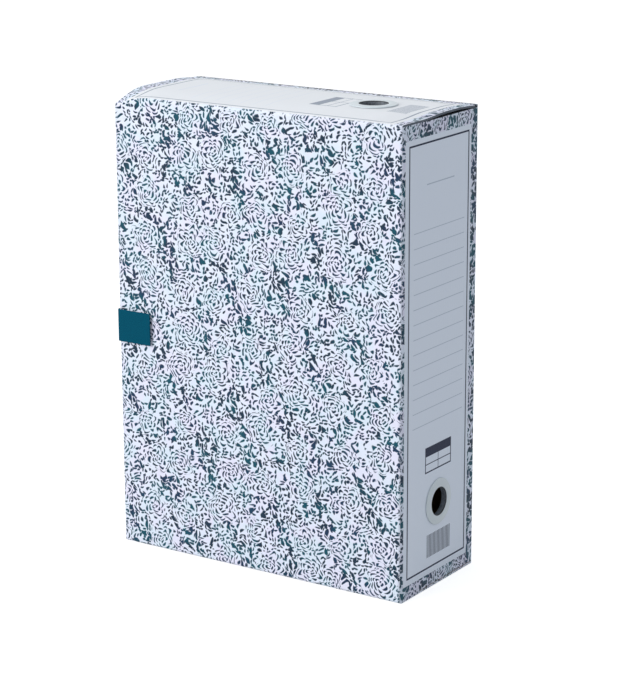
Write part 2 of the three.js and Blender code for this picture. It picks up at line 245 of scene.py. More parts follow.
# Ink of blossoms on scattered centres: a spiral of slanting crescent petals. Gives the ink, and the
# distance left to the blossom's rim, which is negative outside it.
def blossomInk(tree, place):
    values = blossomShape
    centres = addNode(
        tree, "ShaderNodeTexVoronoi",
        {"Vector": place, "Scale": 1 / values["pitch"], "Randomness": values["scatter"]},
        out="Position", voronoi_dimensions="2D",
    )
    random = addNode(tree, "ShaderNodeSeparateXYZ", [centres.node.outputs["Color"]])
    offset = addNode(tree, "ShaderNodeVectorMath", [place, centres], operation="SUBTRACT")
    radius = addNode(tree, "ShaderNodeVectorMath", [offset], out="Value", operation="LENGTH")
    parts = addNode(tree, "ShaderNodeSeparateXYZ", [offset])
    angle = addNode(tree, "ShaderNodeMath", [parts.node.outputs[1], parts], operation="ARCTAN2")
    # the outline's lobes: the radius times 1 plus a sine of so many turns
    phase = addNode(
        tree, "ShaderNodeMath", [random, values["phaseSpread"]], operation="MULTIPLY"
    )
    lobes = addNode(
        tree, "ShaderNodeMath", [angle, values["lobes"], phase], operation="MULTIPLY_ADD"
    )
    lobes = addNode(tree, "ShaderNodeMath", [lobes], operation="SINE")
    swell = addNode(
        tree, "ShaderNodeMath", [lobes, values["swell"], 1.0], operation="MULTIPLY_ADD"
    )
    reach = addNode(tree, "ShaderNodeMath", [radius, swell], operation="MULTIPLY")
    # the spiral: one step outward for each turn, and then the petal's number within its ring
    turns = addNode(tree, "ShaderNodeMath", [angle, 1 / (2 * math.pi)], operation="MULTIPLY")
    ring = addNode(
        tree, "ShaderNodeMath", [reach, 1 / values["petalStep"], turns], operation="MULTIPLY_ADD"
    )
    ringNumber = addNode(tree, "ShaderNodeMath", [ring], operation="FLOOR")
    ringPart = addNode(tree, "ShaderNodeMath", [ring], operation="FRACT")
    more = values["morePetals"]
    petals = addNode(tree, "ShaderNodeMath", [ringNumber, more, more], operation="MULTIPLY_ADD")
    shift = addNode(
        tree, "ShaderNodeMath", [ringNumber, values["ringTurn"], random], operation="MULTIPLY_ADD"
    )
    petalPlace = addNode(
        tree, "ShaderNodeMath", [turns, petals, shift], operation="MULTIPLY_ADD"
    )
    petalPart = addNode(tree, "ShaderNodeMath", [petalPlace], operation="FRACT")
    fromPetal = addNode(tree, "ShaderNodeMath", [petalPart, 0.5], operation="SUBTRACT")
    # a petal's middle line: a bend as the square of the place along it, and a slant
    square = addNode(tree, "ShaderNodeMath", [fromPetal, fromPetal], operation="MULTIPLY")
    middle = addNode(
        tree, "ShaderNodeMath", [square, -values["petalBend"], values["petalMiddle"]],
        operation="MULTIPLY_ADD",
    )
    middle = addNode(
        tree, "ShaderNodeMath", [fromPetal, values["petalSlant"], middle], operation="MULTIPLY_ADD"
    )
    gap = addNode(tree, "ShaderNodeMath", [ringPart, middle], operation="SUBTRACT")
    gap = addNode(tree, "ShaderNodeMath", [gap], operation="ABSOLUTE")
    halfWidth = addNode(
        tree, "ShaderNodeMath", [square, -values["petalTaper"], values["petalWidth"]],
        operation="MULTIPLY_ADD",
    )
    inside = addNode(tree, "ShaderNodeMath", [halfWidth, gap], operation="SUBTRACT")
    ink = addNode(tree, "ShaderNodeMapRange", [inside, 0.0, values["petalEdge"], 0.0, 1.0])
    size = addNode(
        tree, "ShaderNodeMath",
        [random.node.outputs[1], values["radiusSpread"], values["radius"] - values["radiusSpread"] / 2],
        operation="MULTIPLY_ADD",
    )
    room = addNode(tree, "ShaderNodeMath", [size, reach], operation="SUBTRACT")
    inBlossom = addNode(tree, "ShaderNodeMath", [room, 0.0], operation="GREATER_THAN")
    return addNode(tree, "ShaderNodeMath", [ink, inBlossom], operation="MULTIPLY"), room


# Ink of the whole print: blossoms, and between them short strokes turned every way and darker leaves.
# How many leaves there are follows the cosine of the distance across their diagonal chains.
def floralInk(tree, place, moreLeaves, wider):
    values = floralPrint
    bent = place
    for name in ("warp", "ripple"):
        scale, detail = values[name + "Scale"], values[name + "Detail"]
        noise = addNode(
            tree, "ShaderNodeTexNoise", {"Vector": place, "Scale": scale, "Detail": detail},
            out="Color", noise_dimensions="2D",
        )
        bent = addNode(
            tree, "ShaderNodeVectorMath", [noise, values[name + "Reach"], bent],
            operation="MULTIPLY_ADD",
        )
    petalInk, room = blossomInk(tree, bent)
    outside = addNode(
        tree, "ShaderNodeMath", [room, -blossomShape["margin"]], operation="LESS_THAN"
    )
    strokes = markInk(tree, bent, strokeMark, wider, values["strokeShare"])
    across = addNode(
        tree, "ShaderNodeVectorMath", [bent, leafChains["across"]], out="Value",
        operation="DOT_PRODUCT",
    )
    across = addNode(
        tree, "ShaderNodeMath", [across, 2 * math.pi / leafChains["pitch"]], operation="MULTIPLY"
    )
    chain = addNode(tree, "ShaderNodeMath", [across], operation="COSINE")
    fewest, most = leafChains["share"]
    present = addNode(
        tree, "ShaderNodeMapRange", [chain, *leafChains["cosine"], fewest + moreLeaves, most]
    )
    leaves = markInk(tree, bent, leafMark, wider, present)
    ink = addNode(tree, "ShaderNodeMath", [strokes, leaves], operation="MAXIMUM")
    ink = addNode(tree, "ShaderNodeMath", [ink, outside], operation="MULTIPLY")
    return addNode(tree, "ShaderNodeMath", [ink, petalInk], operation="MAXIMUM")


# how far the print has cracked off along a fold, in broken specks close to it
def foldWear(tree, place):
    parts = addNode(tree, "ShaderNodeSeparateXYZ", [place])
    folds = [(parts, foreX), (parts, spineX), (parts, spineX + backY - frontY)]
    folds += [(parts.node.outputs[1], 0.0), (parts.node.outputs[1], boardShape["foldTop"])]
    nearest = None
    for axis, where in folds:
        gap = addNode(tree, "ShaderNodeMath", [axis, where], operation="SUBTRACT")
        gap = addNode(tree, "ShaderNodeMath", [gap], operation="ABSOLUTE")
        if nearest is not None:
            gap = addNode(tree, "ShaderNodeMath", [nearest, gap], operation="MINIMUM")
        nearest = gap
    specks = addNode(
        tree, "ShaderNodeTexNoise",
        {"Vector": place, "Scale": printWear["scale"], "Detail": 4.0, "Roughness": 0.7},
        noise_dimensions="2D",
    )
    specks = addNode(tree, "ShaderNodeMath", [specks, -printWear["level"]], operation="ADD")
    reach = addNode(tree, "ShaderNodeMath", [specks, printWear["reach"]], operation="MULTIPLY")
    worn = addNode(tree, "ShaderNodeMath", [reach, nearest], operation="SUBTRACT")
    return addNode(
        tree, "ShaderNodeMapRange", [worn, 0.0, printWear["edge"], 0.0, printWear["most"]]
    )


# the ground and the ink both turn cool or warm with the same slow clouds
def floralColour(tree, place, moreLeaves, wider):
    values = floralPrint
    clouds = addNode(
        tree, "ShaderNodeTexNoise", {"Vector": place, "Scale": values["cloudScale"], "Detail": 2.0},
        out="Color", noise_dimensions="2D",
    )
    clouds = addNode(tree, "ShaderNodeSeparateXYZ", [clouds])
    cool = addNode(tree, "ShaderNodeMapRange", [clouds, *values["coolFrom"], 0.0, 1.0])
    warm = addNode(
        tree, "ShaderNodeMapRange",
        [clouds.node.outputs[1], *values["warmFrom"], 0.0, values["mostWarm"]],
    )
    tones = []
    for plain, cooler, warmer in (("ground", "groundCool", "groundWarm"), ("slate", "teal", "navy")):
        tone = addNode(
            tree, "ShaderNodeMix", {0: cool, 6: linear(values[plain]), 7: linear(values[cooler])},
            out=2, data_type="RGBA",
        )
        tone = addNode(
            tree, "ShaderNodeMix", {0: warm, 6: tone, 7: linear(values[warmer])},
            out=2, data_type="RGBA",
        )
        tones.append(tone)
    ink = floralInk(tree, place, moreLeaves, wider)
    colour = addNode(
        tree, "ShaderNodeMix", {0: ink, 6: tones[0], 7: tones[1]}, out=2, data_type="RGBA"
    )
    worn = foldWear(tree, place)
    return addNode(
        tree, "ShaderNodeMix", {0: worn, 6: colour, 7: linear(printWear["colour"])},
        out=2, data_type="RGBA",
    )


# distance in mm from inside a rectangle to its nearest side, negative outside it
def boxDistance(tree, place, low, high):
    centre = tuple((a + b) / 2 for a, b in zip(low, high)) + (0.0,)
    half = [(b - a) / 2 for a, b in zip(low, high)]
    offset = addNode(tree, "ShaderNodeVectorMath", [place, centre], operation="SUBTRACT")
    away = addNode(tree, "ShaderNodeVectorMath", [offset], operation="ABSOLUTE")
    parts = addNode(tree, "ShaderNodeSeparateXYZ", [away])
    across = addNode(tree, "ShaderNodeMath", [half[0], parts], operation="SUBTRACT")
    along = addNode(tree, "ShaderNodeMath", [half[1], parts.node.outputs[1]], operation="SUBTRACT")
    return addNode(tree, "ShaderNodeMath", [across, along], operation="MINIMUM")


# 1 inside a rectangle
def boxMask(tree, place, low, high):
    distance = boxDistance(tree, place, low, high)
    return addNode(tree, "ShaderNodeMath", [distance, 0.0], operation="GREATER_THAN")


# 1 within halfWidth of a rectangle's outline
def outlineMask(tree, place, low, high, halfWidth):
    distance = boxDistance(tree, place, low, high)
    distance = addNode(tree, "ShaderNodeMath", [distance], operation="ABSOLUTE")
    edge = halfWidth + labelPrint["outlineSoftness"]
    return addNode(tree, "ShaderNodeMapRange", [distance, halfWidth, edge, 1.0, 0.0])


# 1 on lines across one axis, in step with the pitch from the first line, within a rectangle
def linesMask(tree, place, axis, first, pitch, halfWidth, low, high):
    part = addNode(tree, "ShaderNodeSeparateXYZ", [place]).node.outputs[axis]
    steps = addNode(tree, "ShaderNodeMath", [part, first - pitch / 2], operation="SUBTRACT")
    steps = addNode(tree, "ShaderNodeMath", [steps, pitch], operation="DIVIDE")
    steps = addNode(tree, "ShaderNodeMath", [steps], operation="FRACT")
    steps = addNode(tree, "ShaderNodeMath", [steps, 0.5], operation="SUBTRACT")
    steps = addNode(tree, "ShaderNodeMath", [steps], operation="ABSOLUTE")
    edge = halfWidth + labelPrint["lineSoftness"]
    lines = addNode(
        tree, "ShaderNodeMapRange", [steps, halfWidth / pitch, edge / pitch, 1.0, 0.0]
    )
    inside = boxMask(tree, place, low, high)
    return addNode(tree, "ShaderNodeMath", [lines, inside], operation="MULTIPLY")


# Labels: across runs from the front face, along from the end with the finger hole, in mm. Each place
# is a rectangle's low and high corner.
spineLabel = {
    "white": ((4.0, 11.0), (94.5, 337.5)),
    "frame": ((9.5, 16.0), (91.0, 333.0)),
    "title": ((33.0, 302.8), (71.0, 303.6)),
    "rules": ((16.0, 122.0), (86.0, 274.0)),
    "table": ((34.4, 90.0), (70.0, 108.5)),
    "bars": ((37.0, 24.0), (70.0, 41.5)),
    # from here to the fold the spine is painted with the dark grey of the slit's shade
    "cutFrom": 348.4,
    # the two labels are one paper, tinted per side as painted light: bluer here in the spine's cool
    # shade
    "paperAndLightTint": "#eaf0f9",
    "inks": {"faint": "#bcc6d2", "bars": "#2b3648", "line": "#0b1a38"},
}
topLabel = {
    "white": ((-4.0, 7.5), (95.0, 239.0)),
    "frame": ((4.8, 12.4), (89.5, 234.0)),
    "title": ((31.0, 213.4), (68.0, 214.6)),
    "rules": ((13.0, 118.0), (82.0, 193.0)),
    "table": ((31.0, 75.0), (66.0, 97.0)),
    "bars": ((33.0, 18.0), (66.0, 34.0)),
    "cutFrom": 1000.0,  # beyond its end: the top has no cut edge in view
    # and neutral here, as painted warmer light from above
    "paperAndLightTint": "#eaebec",
    "inks": {"faint": "#dfe4ec", "bars": "#9aa3af", "line": "#8e97a4"},
}
# line widths are halves
labelPrint = {
    "frameLine": 0.6,
    "ruleLine": 0.2,
    "tableLine": 0.3,
    "tableOutline": 0.45,
    "barLine": 0.45,
    "barPitch": 1.9,
    "rulePitch": 11.0,
    "tableRows": 3,
    "tableColumns": 2,
    "outlineSoftness": 0.15,
    "lineSoftness": 0.12,
    # painted shade of the slit at the top panel's cut edge
    "cut": "#59616c",
}


def labelColour(tree, colour, label):
    values = labelPrint
    place = addNode(tree, "ShaderNodeUVMap", uv_map="labelMm")
    white = boxMask(tree, place, *label["white"])
    colour = addNode(
        tree, "ShaderNodeMix", {0: white, 6: colour, 7: linear(label["paperAndLightTint"])},
        out=2, data_type="RGBA",
    )
    rulePitch = values["rulePitch"]
    rulesFrom = label["rules"][0][1] + rulePitch / 2
    rules = linesMask(tree, place, 1, rulesFrom, rulePitch, values["ruleLine"], *label["rules"])
    title = boxMask(tree, place, *label["title"])
    faint = addNode(tree, "ShaderNodeMath", [rules, title], operation="MAXIMUM")
    barsFrom = label["bars"][0][0]
    bars = linesMask(
        tree, place, 0, barsFrom, values["barPitch"], values["barLine"], *label["bars"]
    )
    low, high = label["table"]
    row = (high[1] - low[1]) / values["tableRows"]
    column = (high[0] - low[0]) / values["tableColumns"]
    dark = outlineMask(tree, place, *label["frame"], values["frameLine"])
    for mask in (
        linesMask(tree, place, 1, low[1], row, values["tableLine"], low, high),
        linesMask(tree, place, 0, low[0], column, values["tableLine"], low, high),
        outlineMask(tree, place, low, high, values["tableOutline"]),
        boxMask(tree, place, (low[0], high[1] - row), high),
    ):
        dark = addNode(tree, "ShaderNodeMath", [dark, mask], operation="MAXIMUM")
    for mask, ink in ((faint, "faint"), (bars, "bars"), (dark, "line")):
        colour = addNode(
            tree, "ShaderNodeMix", {0: mask, 6: colour, 7: linear(label["inks"][ink])},
            out=2, data_type="RGBA",
        )
    # the spine's top end is painted shade: a dark grey strip for the top panel's cut edge above it and
    # the slit under that edge
    along = addNode(tree, "ShaderNodeSeparateXYZ", [place]).node.outputs[1]
    cut = addNode(tree, "ShaderNodeMath", [along, label["cutFrom"]], operation="GREATER_THAN")
    return addNode(
        tree, "ShaderNodeMix", {0: cut, 6: colour, 7: linear(values["cut"])}, out=2, data_type="RGBA"
    )


def printedBoard(name, label=None, moreLeaves=0.0, wider=1.0):
    material, tree = newMaterial(name)
    place = addNode(tree, "ShaderNodeUVMap", uv_map="printMm")
    colour = floralColour(tree, place, moreLeaves, wider)
    if label:
        colour = labelColour(tree, colour, label)
    # faint washboard of the flutes under the liner, and the liner's own fibre
    parts = addNode(tree, "ShaderNodeSeparateXYZ", [place])
    flutes = addNode(
        tree, "ShaderNodeMath", [parts, 2 * math.pi / floralPrint["flutePitch"]], operation="MULTIPLY"
    )
    flutes = addNode(tree, "ShaderNodeMath", [flutes], operation="SINE")
    fibre = addNode(
        tree, "ShaderNodeTexNoise", {"Vector": place, "Scale": 0.9, "Detail": 3.0},
        noise_dimensions="2D",
    )
    height = addNode(
        tree, "ShaderNodeMath", [flutes, floralPrint["fluteHeight"], fibre], operation="MULTIPLY_ADD"
    )
    bump = addNode(
        tree, "ShaderNodeBump", {"Height": height, "Strength": 0.35, "Distance": 0.00012}
    )
    rough = addNode(tree, "ShaderNodeMapRange", [fibre, 0.3, 0.7, 0.42, 0.52])
    surface = {"Base Color": colour, "Roughness": rough, "Normal": bump}
    finishMaterial(tree, {**surface, "IOR": 1.5, "Specular IOR Level": 0.15})
    return material


# Unprinted side of the board: plain brown kraft liner, matt and finely fibrous
linerLook = {"fibreScale": 900.0, "cloudScale": 40.0, "dark": "#9c7d55", "light": "#b6976c"}


def kraftLiner(values):
    material, tree = newMaterial("kraftLiner")
    place = addNode(tree, "ShaderNodeTexCoord", out="Object")
    fibre = addNode(
        tree, "ShaderNodeTexNoise",
        {"Vector": place, "Scale": values["fibreScale"], "Detail": 4.0, "Roughness": 0.65},
    )
    clouds = addNode(
        tree, "ShaderNodeTexNoise", {"Vector": place, "Scale": values["cloudScale"], "Detail": 2.0}
    )
    tone = addNode(tree, "ShaderNodeMath", [clouds, 0.35, fibre], operation="MULTIPLY_ADD")
    tone = addNode(tree, "ShaderNodeMapRange", [tone, 0.35, 1.0, 0.0, 1.0])
    colour = addNode(
        tree, "ShaderNodeMix", {0: tone, 6: linear(values["dark"]), 7: linear(values["light"])},
        out=2, data_type="RGBA",
    )
    bump = addNode(tree, "ShaderNodeBump", {"Height": fibre, "Strength": 0.3, "Distance": 0.0001})
    surface = {"Base Color": colour, "Roughness": 0.85, "Normal": bump}
    finishMaterial(tree, {**surface, "IOR": 1.45, "Specular IOR Level": 0.25})
    return material


# Cut edge of the board: painted shade, in greys darker than the board's core, as the cut edges lie in
# shade, with the dark gaps of the wavy flute between its liners
shadedEdgeLook = {"dark": "#4d545d", "light": "#858d96"}


def cutEdge(values):
    material, tree = newMaterial("cutEdge")
    place = addNode(tree, "ShaderNodeTexCoord", out="Object")
    waves = addNode(
        tree, "ShaderNodeVectorMath", [place, (1.0, 1.0, 1.0)], out="Value", operation="DOT_PRODUCT"
    )
    perMetre = 2 * math.pi / (floralPrint["flutePitch"] * mm)
    waves = addNode(tree, "ShaderNodeMath", [waves, perMetre], operation="MULTIPLY")
    waves = addNode(tree, "ShaderNodeMath", [waves], operation="SINE")
    tone = addNode(tree, "ShaderNodeMapRange", [waves, -0.2, 0.8, 0.0, 1.0])
    colour = addNode(
        tree, "ShaderNodeMix", {0: tone, 6: linear(values["dark"]), 7: linear(values["light"])},
        out=2, data_type="RGBA",
    )
    surface = {"Base Color": colour, "Roughness": 0.9}
    finishMaterial(tree, {**surface, "IOR": 1.45, "Specular IOR Level": 0.2})
    return material


boardFinishes = {
    "print": printedBoard("satinPrintedBoard"),
    "spine": printedBoard(
        "satinPrintedSpine", spineLabel, floralPrint["spineLeaves"], floralPrint["spineWidth"]
    ),
    "top": printedBoard("satinPrintedTop", topLabel),
    "liner": kraftLiner(linerLook),
    "edge": cutEdge(shadedEdgeLook),
}
print("board finishes made")


def addObject(name, mesh, finishes):
    for finish in finishes:
        mesh.materials.append(finish)
    piece = bpy.data.objects.new(name, mesh)
    scene.collection.objects.link(piece)
    return piece


def turnOutward(mesh):
    shape = bmesh.new()
    shape.from_mesh(mesh)
    bmesh.ops.recalc_face_normals(shape, faces=shape.faces)
    shape.to_mesh(mesh)
    shape.free()


# a merged copy of a node's own triangles, smooth across its folds
def smoothCopy(node, name):
    shape = bmesh.new()
    shape.from_mesh(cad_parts[node].data)
    bmesh.ops.remove_doubles(shape, verts=shape.verts, dist=boardShape["mergeGap"] * mm)
    mesh = bpy.data.meshes.new(name)
    shape.to_mesh(mesh)
    shape.free()
    mesh.shade_smooth()
    mesh.set_sharp_from_angle(angle=math.radians(boardShape["smoothAngle"]))
    return mesh


# The box's outer panels are pieces of their own, parted along the folds, so that each one holds its
# print finely when its looks are baked; the rest is the bottom, the inside and the cut edges.
boardSides = {"front": 0, "spine": 1, "top": 2, "back": 3, "bottom": 4, "fore": 5, "inner": 6}
boardPieces = {
    "printedFront": {"side": "front", "finish": "print"},
    "printedSpine": {"side": "spine", "finish": "spine"},
    "printedTop": {"side": "top", "finish": "top"},
    "printedBack": {"side": "back", "finish": "print"},
}
offLabel = -50.0  # label coordinate, in mm, of the sides that have no label


# each face belongs to the side that it looks out of, folds included
def sortFaces(normals, centres):
    values = boardShape
    normalX, normalY, normalZ = normals.T
    x, y, z = centres.T
    near, outward, corner = values["foldDepth"], values["outward"], values["topCorner"]
    top, thick = values["foldTop"], values["thickness"]
    underside = top - thick
    onTop = (normalZ > values["topOutward"]) & (z > top - values["topDrop"]) & (y < backY - thick)
    onTop &= (z >= underside + values["undersideSlack"]) | (x <= foreX + values["topBend"])
    onTop &= np.abs(z - (underside - values["dustFlapGap"])) >= values["levelSlack"]
    onTop &= (x < spineX - corner) | (y < backY - corner)
    belongs = {
        "front": (normalY < -outward) & (y < frontY + near),
        "spine": (normalX > outward) & (x > spineX - near),
        "top": onTop,
        "back": (normalY > outward) & (y > backY - near),
        "bottom": (normalZ < -outward) & (z < near),
        "fore": (normalX < -outward) & (x < foreX + near),
    }
    numbers = [boardSides[name] for name in belongs]
    return np.select(list(belongs.values()), numbers, default=boardSides["inner"])


# Print coordinates unfold the box: x and z on the front, carried on past each fold by the distance
# from it. Gives each face's side, centre and normal.
def unfoldBoard(mesh):
    count = len(mesh.polygons)
    normals, centres = np.zeros(count * 3), np.zeros(count * 3)
    mesh.polygons.foreach_get("normal", normals)
    mesh.polygons.foreach_get("center", centres)
    normals, centres = normals.reshape(-1, 3), centres.reshape(-1, 3) / mm
    side = sortFaces(normals, centres)

    corner, totals = np.zeros(len(mesh.loops), int), np.zeros(count, int)
    mesh.loops.foreach_get("vertex_index", corner)
    mesh.polygons.foreach_get("loop_total", totals)
    points = np.zeros(len(mesh.vertices) * 3)
    mesh.vertices.foreach_get("co", points)
    x, y, z = (points.reshape(-1, 3) / mm)[corner].T
    loopSide = np.repeat(side, totals)
    on = {name: loopSide == number for name, number in boardSides.items()}
    deep = y - frontY
    u = np.select(
        [on["spine"], on["back"], on["fore"]],
        [spineX + deep, 2 * spineX + (backY - frontY) - x, foreX - deep], default=x,
    )
    v = np.select([on["top"], on["bottom"]], [boardShape["foldTop"] + deep, -deep], default=z)
    across = np.where(on["spine"] | on["top"], deep, offLabel)
    along = np.where(on["top"], spineX - x, z)
    for name, values in (("printMm", (u, v)), ("labelMm", (across, along))):
        layer = mesh.uv_layers.new(name=name)
        layer.data.foreach_set("uv", np.stack(values, axis=1).ravel().astype(np.float32))
    return side, centres, normals


# the chosen faces of a mesh, as a mesh of their own
def facesOf(mesh, chosen, name):
    shape = bmesh.new()
    shape.from_mesh(mesh)
    spare = [face for face in shape.faces if not chosen[face.index]]
    bmesh.ops.delete(shape, geom=spare, context="FACES")
    part = bpy.data.meshes.new(name)
    shape.to_mesh(part)
    shape.free()
    return part


def finishBoard(name, mesh, finishes, body, node):
    piece = addObject(name, mesh, [boardFinishes[finish] for finish in finishes])
    weight = piece.modifiers.new("flatFaces", "WEIGHTED_NORMAL")
    weight.mode = "FACE_AREA"
    weight.keep_sharp = True
    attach(piece, body)
    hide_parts(node)


def makeBody():
    mesh = smoothCopy("box_body", "board")
    side, centres, normals = unfoldBoard(mesh)
    for name, values in boardPieces.items():
        panel = facesOf(mesh, side == boardSides[values["side"]], name)
        finishBoard(name, panel, [values["finish"]], "box", "box_body")
    x, _, z = centres.T
    top, reach = boardShape["foldTop"], boardShape["slitReach"]
    cut = (normals[:, 2] > boardShape["outward"]) & (z > top - boardShape["edgeDepth"])
    cut |= (z > top - reach) & (x > spineX - reach)
    cut &= side == boardSides["inner"]
    cut |= side == boardSides["fore"]
    finish = np.select([side == boardSides["bottom"], cut], [0, 2], default=1)
    mesh.polygons.foreach_set("material_index", finish.astype(np.int32))
    rest = facesOf(mesh, side >= boardSides["bottom"], "foldedBoard")
    finishBoard("foldedBoard", rest, ["print", "liner", "edge"], "box", "box_body")
    bpy.data.meshes.remove(mesh)


def makeFlap():
    mesh = smoothCopy("closing_flap", "printedFlap")
    side, _, _ = unfoldBoard(mesh)
    printed = (side == boardSides["fore"]) | (side == boardSides["back"])
    mesh.polygons.foreach_set("material_index", np.where(printed, 0, 1).astype(np.int32))
    finishBoard("printedFlap", mesh, ["print", "liner"], "flap", "closing_flap")


makeBody()
makeFlap()
print("board made")


# Finger rings: injection-moulded polystyrene, pale grey and satin
ringShape = {
    "sides": 96,
    "bevelPoints": 6,
    "crownPoints": 9,
    "bore": 10.5,
    "throat": 11.7,
    "flange": 1.0,
    "rimRound": 0.6,
    "lipRound": 0.9,
    "crown": 0.3,  # the flange rises by this much from its rim towards the lip
    "crownWidth": 2.6,  # and is at its highest this far from the bore
    "smoothAngle": 50.0,
}
ringLook = {
    "pale": "#c6d0d2",
    "light": "#d2dadd",
    # lip, throat and the near-black are painted shade: they darken the hole's lip and bore to stand for
    # the shade inside the hole
    "lip": "#1c232b",
    "throat": "#8b949d",
    "deepShade": "#0d1116",
    "grainScale": 2200.0,
    "hazeScale": 130.0,
    "mottleScale": 700.0,
}


def ringPlastic(values):
    material, tree = newMaterial("mouldedPolystyrene")
    place = addNode(tree, "ShaderNodeTexCoord", out="Object")
    grain = addNode(
        tree, "ShaderNodeTexNoise", {"Vector": place, "Scale": values["grainScale"], "Detail": 2.0}
    )
    haze = addNode(
        tree, "ShaderNodeTexNoise", {"Vector": place, "Scale": values["hazeScale"], "Detail": 2.0}
    )
    colour = addNode(
        tree, "ShaderNodeMix", {0: haze, 6: linear(values["pale"]), 7: linear(values["light"])},
        out=2, data_type="RGBA",
    )
    bump = addNode(tree, "ShaderNodeBump", {"Height": grain, "Strength": 0.12, "Distance": 0.00005})
    rough = addNode(tree, "ShaderNodeMapRange", [haze, 0.3, 0.7, 0.3, 0.38])
    finishMaterial(tree, {"Base Color": colour, "Roughness": rough, "IOR": 1.58, "Normal": bump})
    return material


# Lip and throat of the ring: the same plastic with painted shade, black on the lip and mid grey in the
# bore, mottled towards near black, and rubbed dull by fingers
def paintedShadePlastic(name, values, part):
    material, tree = newMaterial(name)
    place = addNode(tree, "ShaderNodeTexCoord", out="Object")
    mottle = addNode(
        tree, "ShaderNodeTexNoise", {"Vector": place, "Scale": values["mottleScale"], "Detail": 3.0}
    )
    colour = addNode(
        tree, "ShaderNodeMix", {0: mottle, 6: linear(values["deepShade"]), 7: linear(values[part])},
        out=2, data_type="RGBA",
    )
    rough = addNode(tree, "ShaderNodeMapRange", [mottle, 0.3, 0.7, 0.5, 0.65])
    finishMaterial(tree, {"Base Color": colour, "Roughness": rough, "IOR": 1.58})
    return material


ringFinishes = [
    ringPlastic(ringLook),
    # painted shade on the lip and in the bore
    paintedShadePlastic("lipPaintedShade", ringLook, "lip"),
    paintedShadePlastic("borePaintedShade", ringLook, "throat"),
]


# A closed profile of radius and height is turned once round an axis: each ring of points is the
# profile at one angle, and neighbouring rings are joined by quads.
def turnedPiece(name, profile, zones, axis, centre):
    rings, count = ringShape["sides"], len(profile)
    radius, height = np.array(profile).T
    angles = np.linspace(0, 2 * math.pi, rings, endpoint=False)
    flatA = np.outer(np.cos(angles), radius)
    flatB = np.outer(np.sin(angles), radius)
    lift = np.broadcast_to(height, flatA.shape)
    order = {"x": (lift, flatA, flatB), "z": (flatA, flatB, lift)}[axis]
    points = (np.stack(order, axis=2).reshape(-1, 3) + centre) * mm
    i, k = np.meshgrid(np.arange(rings), np.arange(count), indexing="ij")
    nextI, nextK = (i + 1) % rings, (k + 1) % count
    quads = np.stack(
        [i * count + k, nextI * count + k, nextI * count + nextK, i * count + nextK], axis=2
    )
    mesh = bpy.data.meshes.new(name)
    mesh.from_pydata(points.tolist(), [], quads.reshape(-1, 4).tolist())
    mesh.polygons.foreach_set("material_index", np.tile(zones, rings).astype(np.int32))
    mesh.shade_smooth()
    mesh.set_sharp_from_angle(angle=math.radians(ringShape["smoothAngle"]))
    return mesh


# The ring's profile runs up the throat, out along the flange and back: its rim and its lip round the
# bore are quarter circles, and between them the flange's face rises as the square of a sine. Gives
# the profile, and for each of its steps the number of its finish.
def ringProfile(rim, bottom, top):
    values = ringShape
    bore, throat, under = values["bore"], values["throat"], top - values["flange"]
    rimRound, lipRound, crown = values["rimRound"], values["lipRound"], values["crown"]
    turn = np.linspace(0, math.pi / 2, values["bevelPoints"])
    rimX, rimZ = rim - rimRound, top - crown - rimRound
    rimArc = [(rimX + rimRound * math.cos(a), rimZ + rimRound * math.sin(a)) for a in turn]
    inward = bore + values["crownWidth"] - rimX
    face = [
        (rimX + inward * s, top - crown + crown * math.sin(math.pi * s / 2) ** 2)
        for s in np.linspace(0, 1, values["crownPoints"])[1:]
    ]
    lipX, lipZ = bore + lipRound, top - lipRound
    lipArc = [(lipX - lipRound * math.sin(a), lipZ + lipRound * math.cos(a)) for a in turn]
    outside = [(throat, bottom), (throat, under), (rim, under), *rimArc, *face]
    profile = [*outside, *lipArc, (bore, bottom)]
    # the lower lip and the bottom take the black painted shade, and the bore wall takes the grey one
    zones = np.zeros(len(profile), int)
    zones[len(outside) + 2 :] = 1
    zones[-2] = 2
    return profile, zones


def makeRing(node, name, axis):
    low, high = (np.array(corner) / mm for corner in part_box(node))
    upright = "xyz".index(axis)
    flat = 0 if upright else 1
    centre = (low + high) / 2
    centre[upright] = 0
    profile, zones = ringProfile((high[flat] - low[flat]) / 2, low[upright], high[upright])
    mesh = turnedPiece(name, profile, zones, axis, centre)
    turnOutward(mesh)
    piece = addObject(name, mesh, ringFinishes)
    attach(piece, "box")
    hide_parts(node)


# pieces shown as the solids are, in a finish of their own
def finishSolids(nodes, finish):
    for node in nodes:
        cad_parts[node].data.materials.clear()
        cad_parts[node].data.materials.append(finish)


makeRing("spine_finger_ring", "spineRing", "x")
makeRing("top_finger_ring", "topRing", "z")
finishSolids(("spine_ring_washer", "top_ring_washer"), ringFinishes[0])
print("rings made")


# Closure tape: woven nylon loop tape, dyed teal
tapeShape = {
    "thickness": 0.8,
    "bend": 1.4,  # radius of the middle line round the corner
    "edgePoints": 6,
    "bendPoints": 14,
    "acrossPoints": 16,
    "stepLength": 1.5,
    "smoothAngle": 50.0,
}
tapeWeave = {
    "threadPitch": 0.9,
    "threadHeight": 0.25,
    "fuzzScale": 1.6,
    "pileScale": 1100.0,
    "deep": "#003a4d",
    "bright": "#005f77",
}


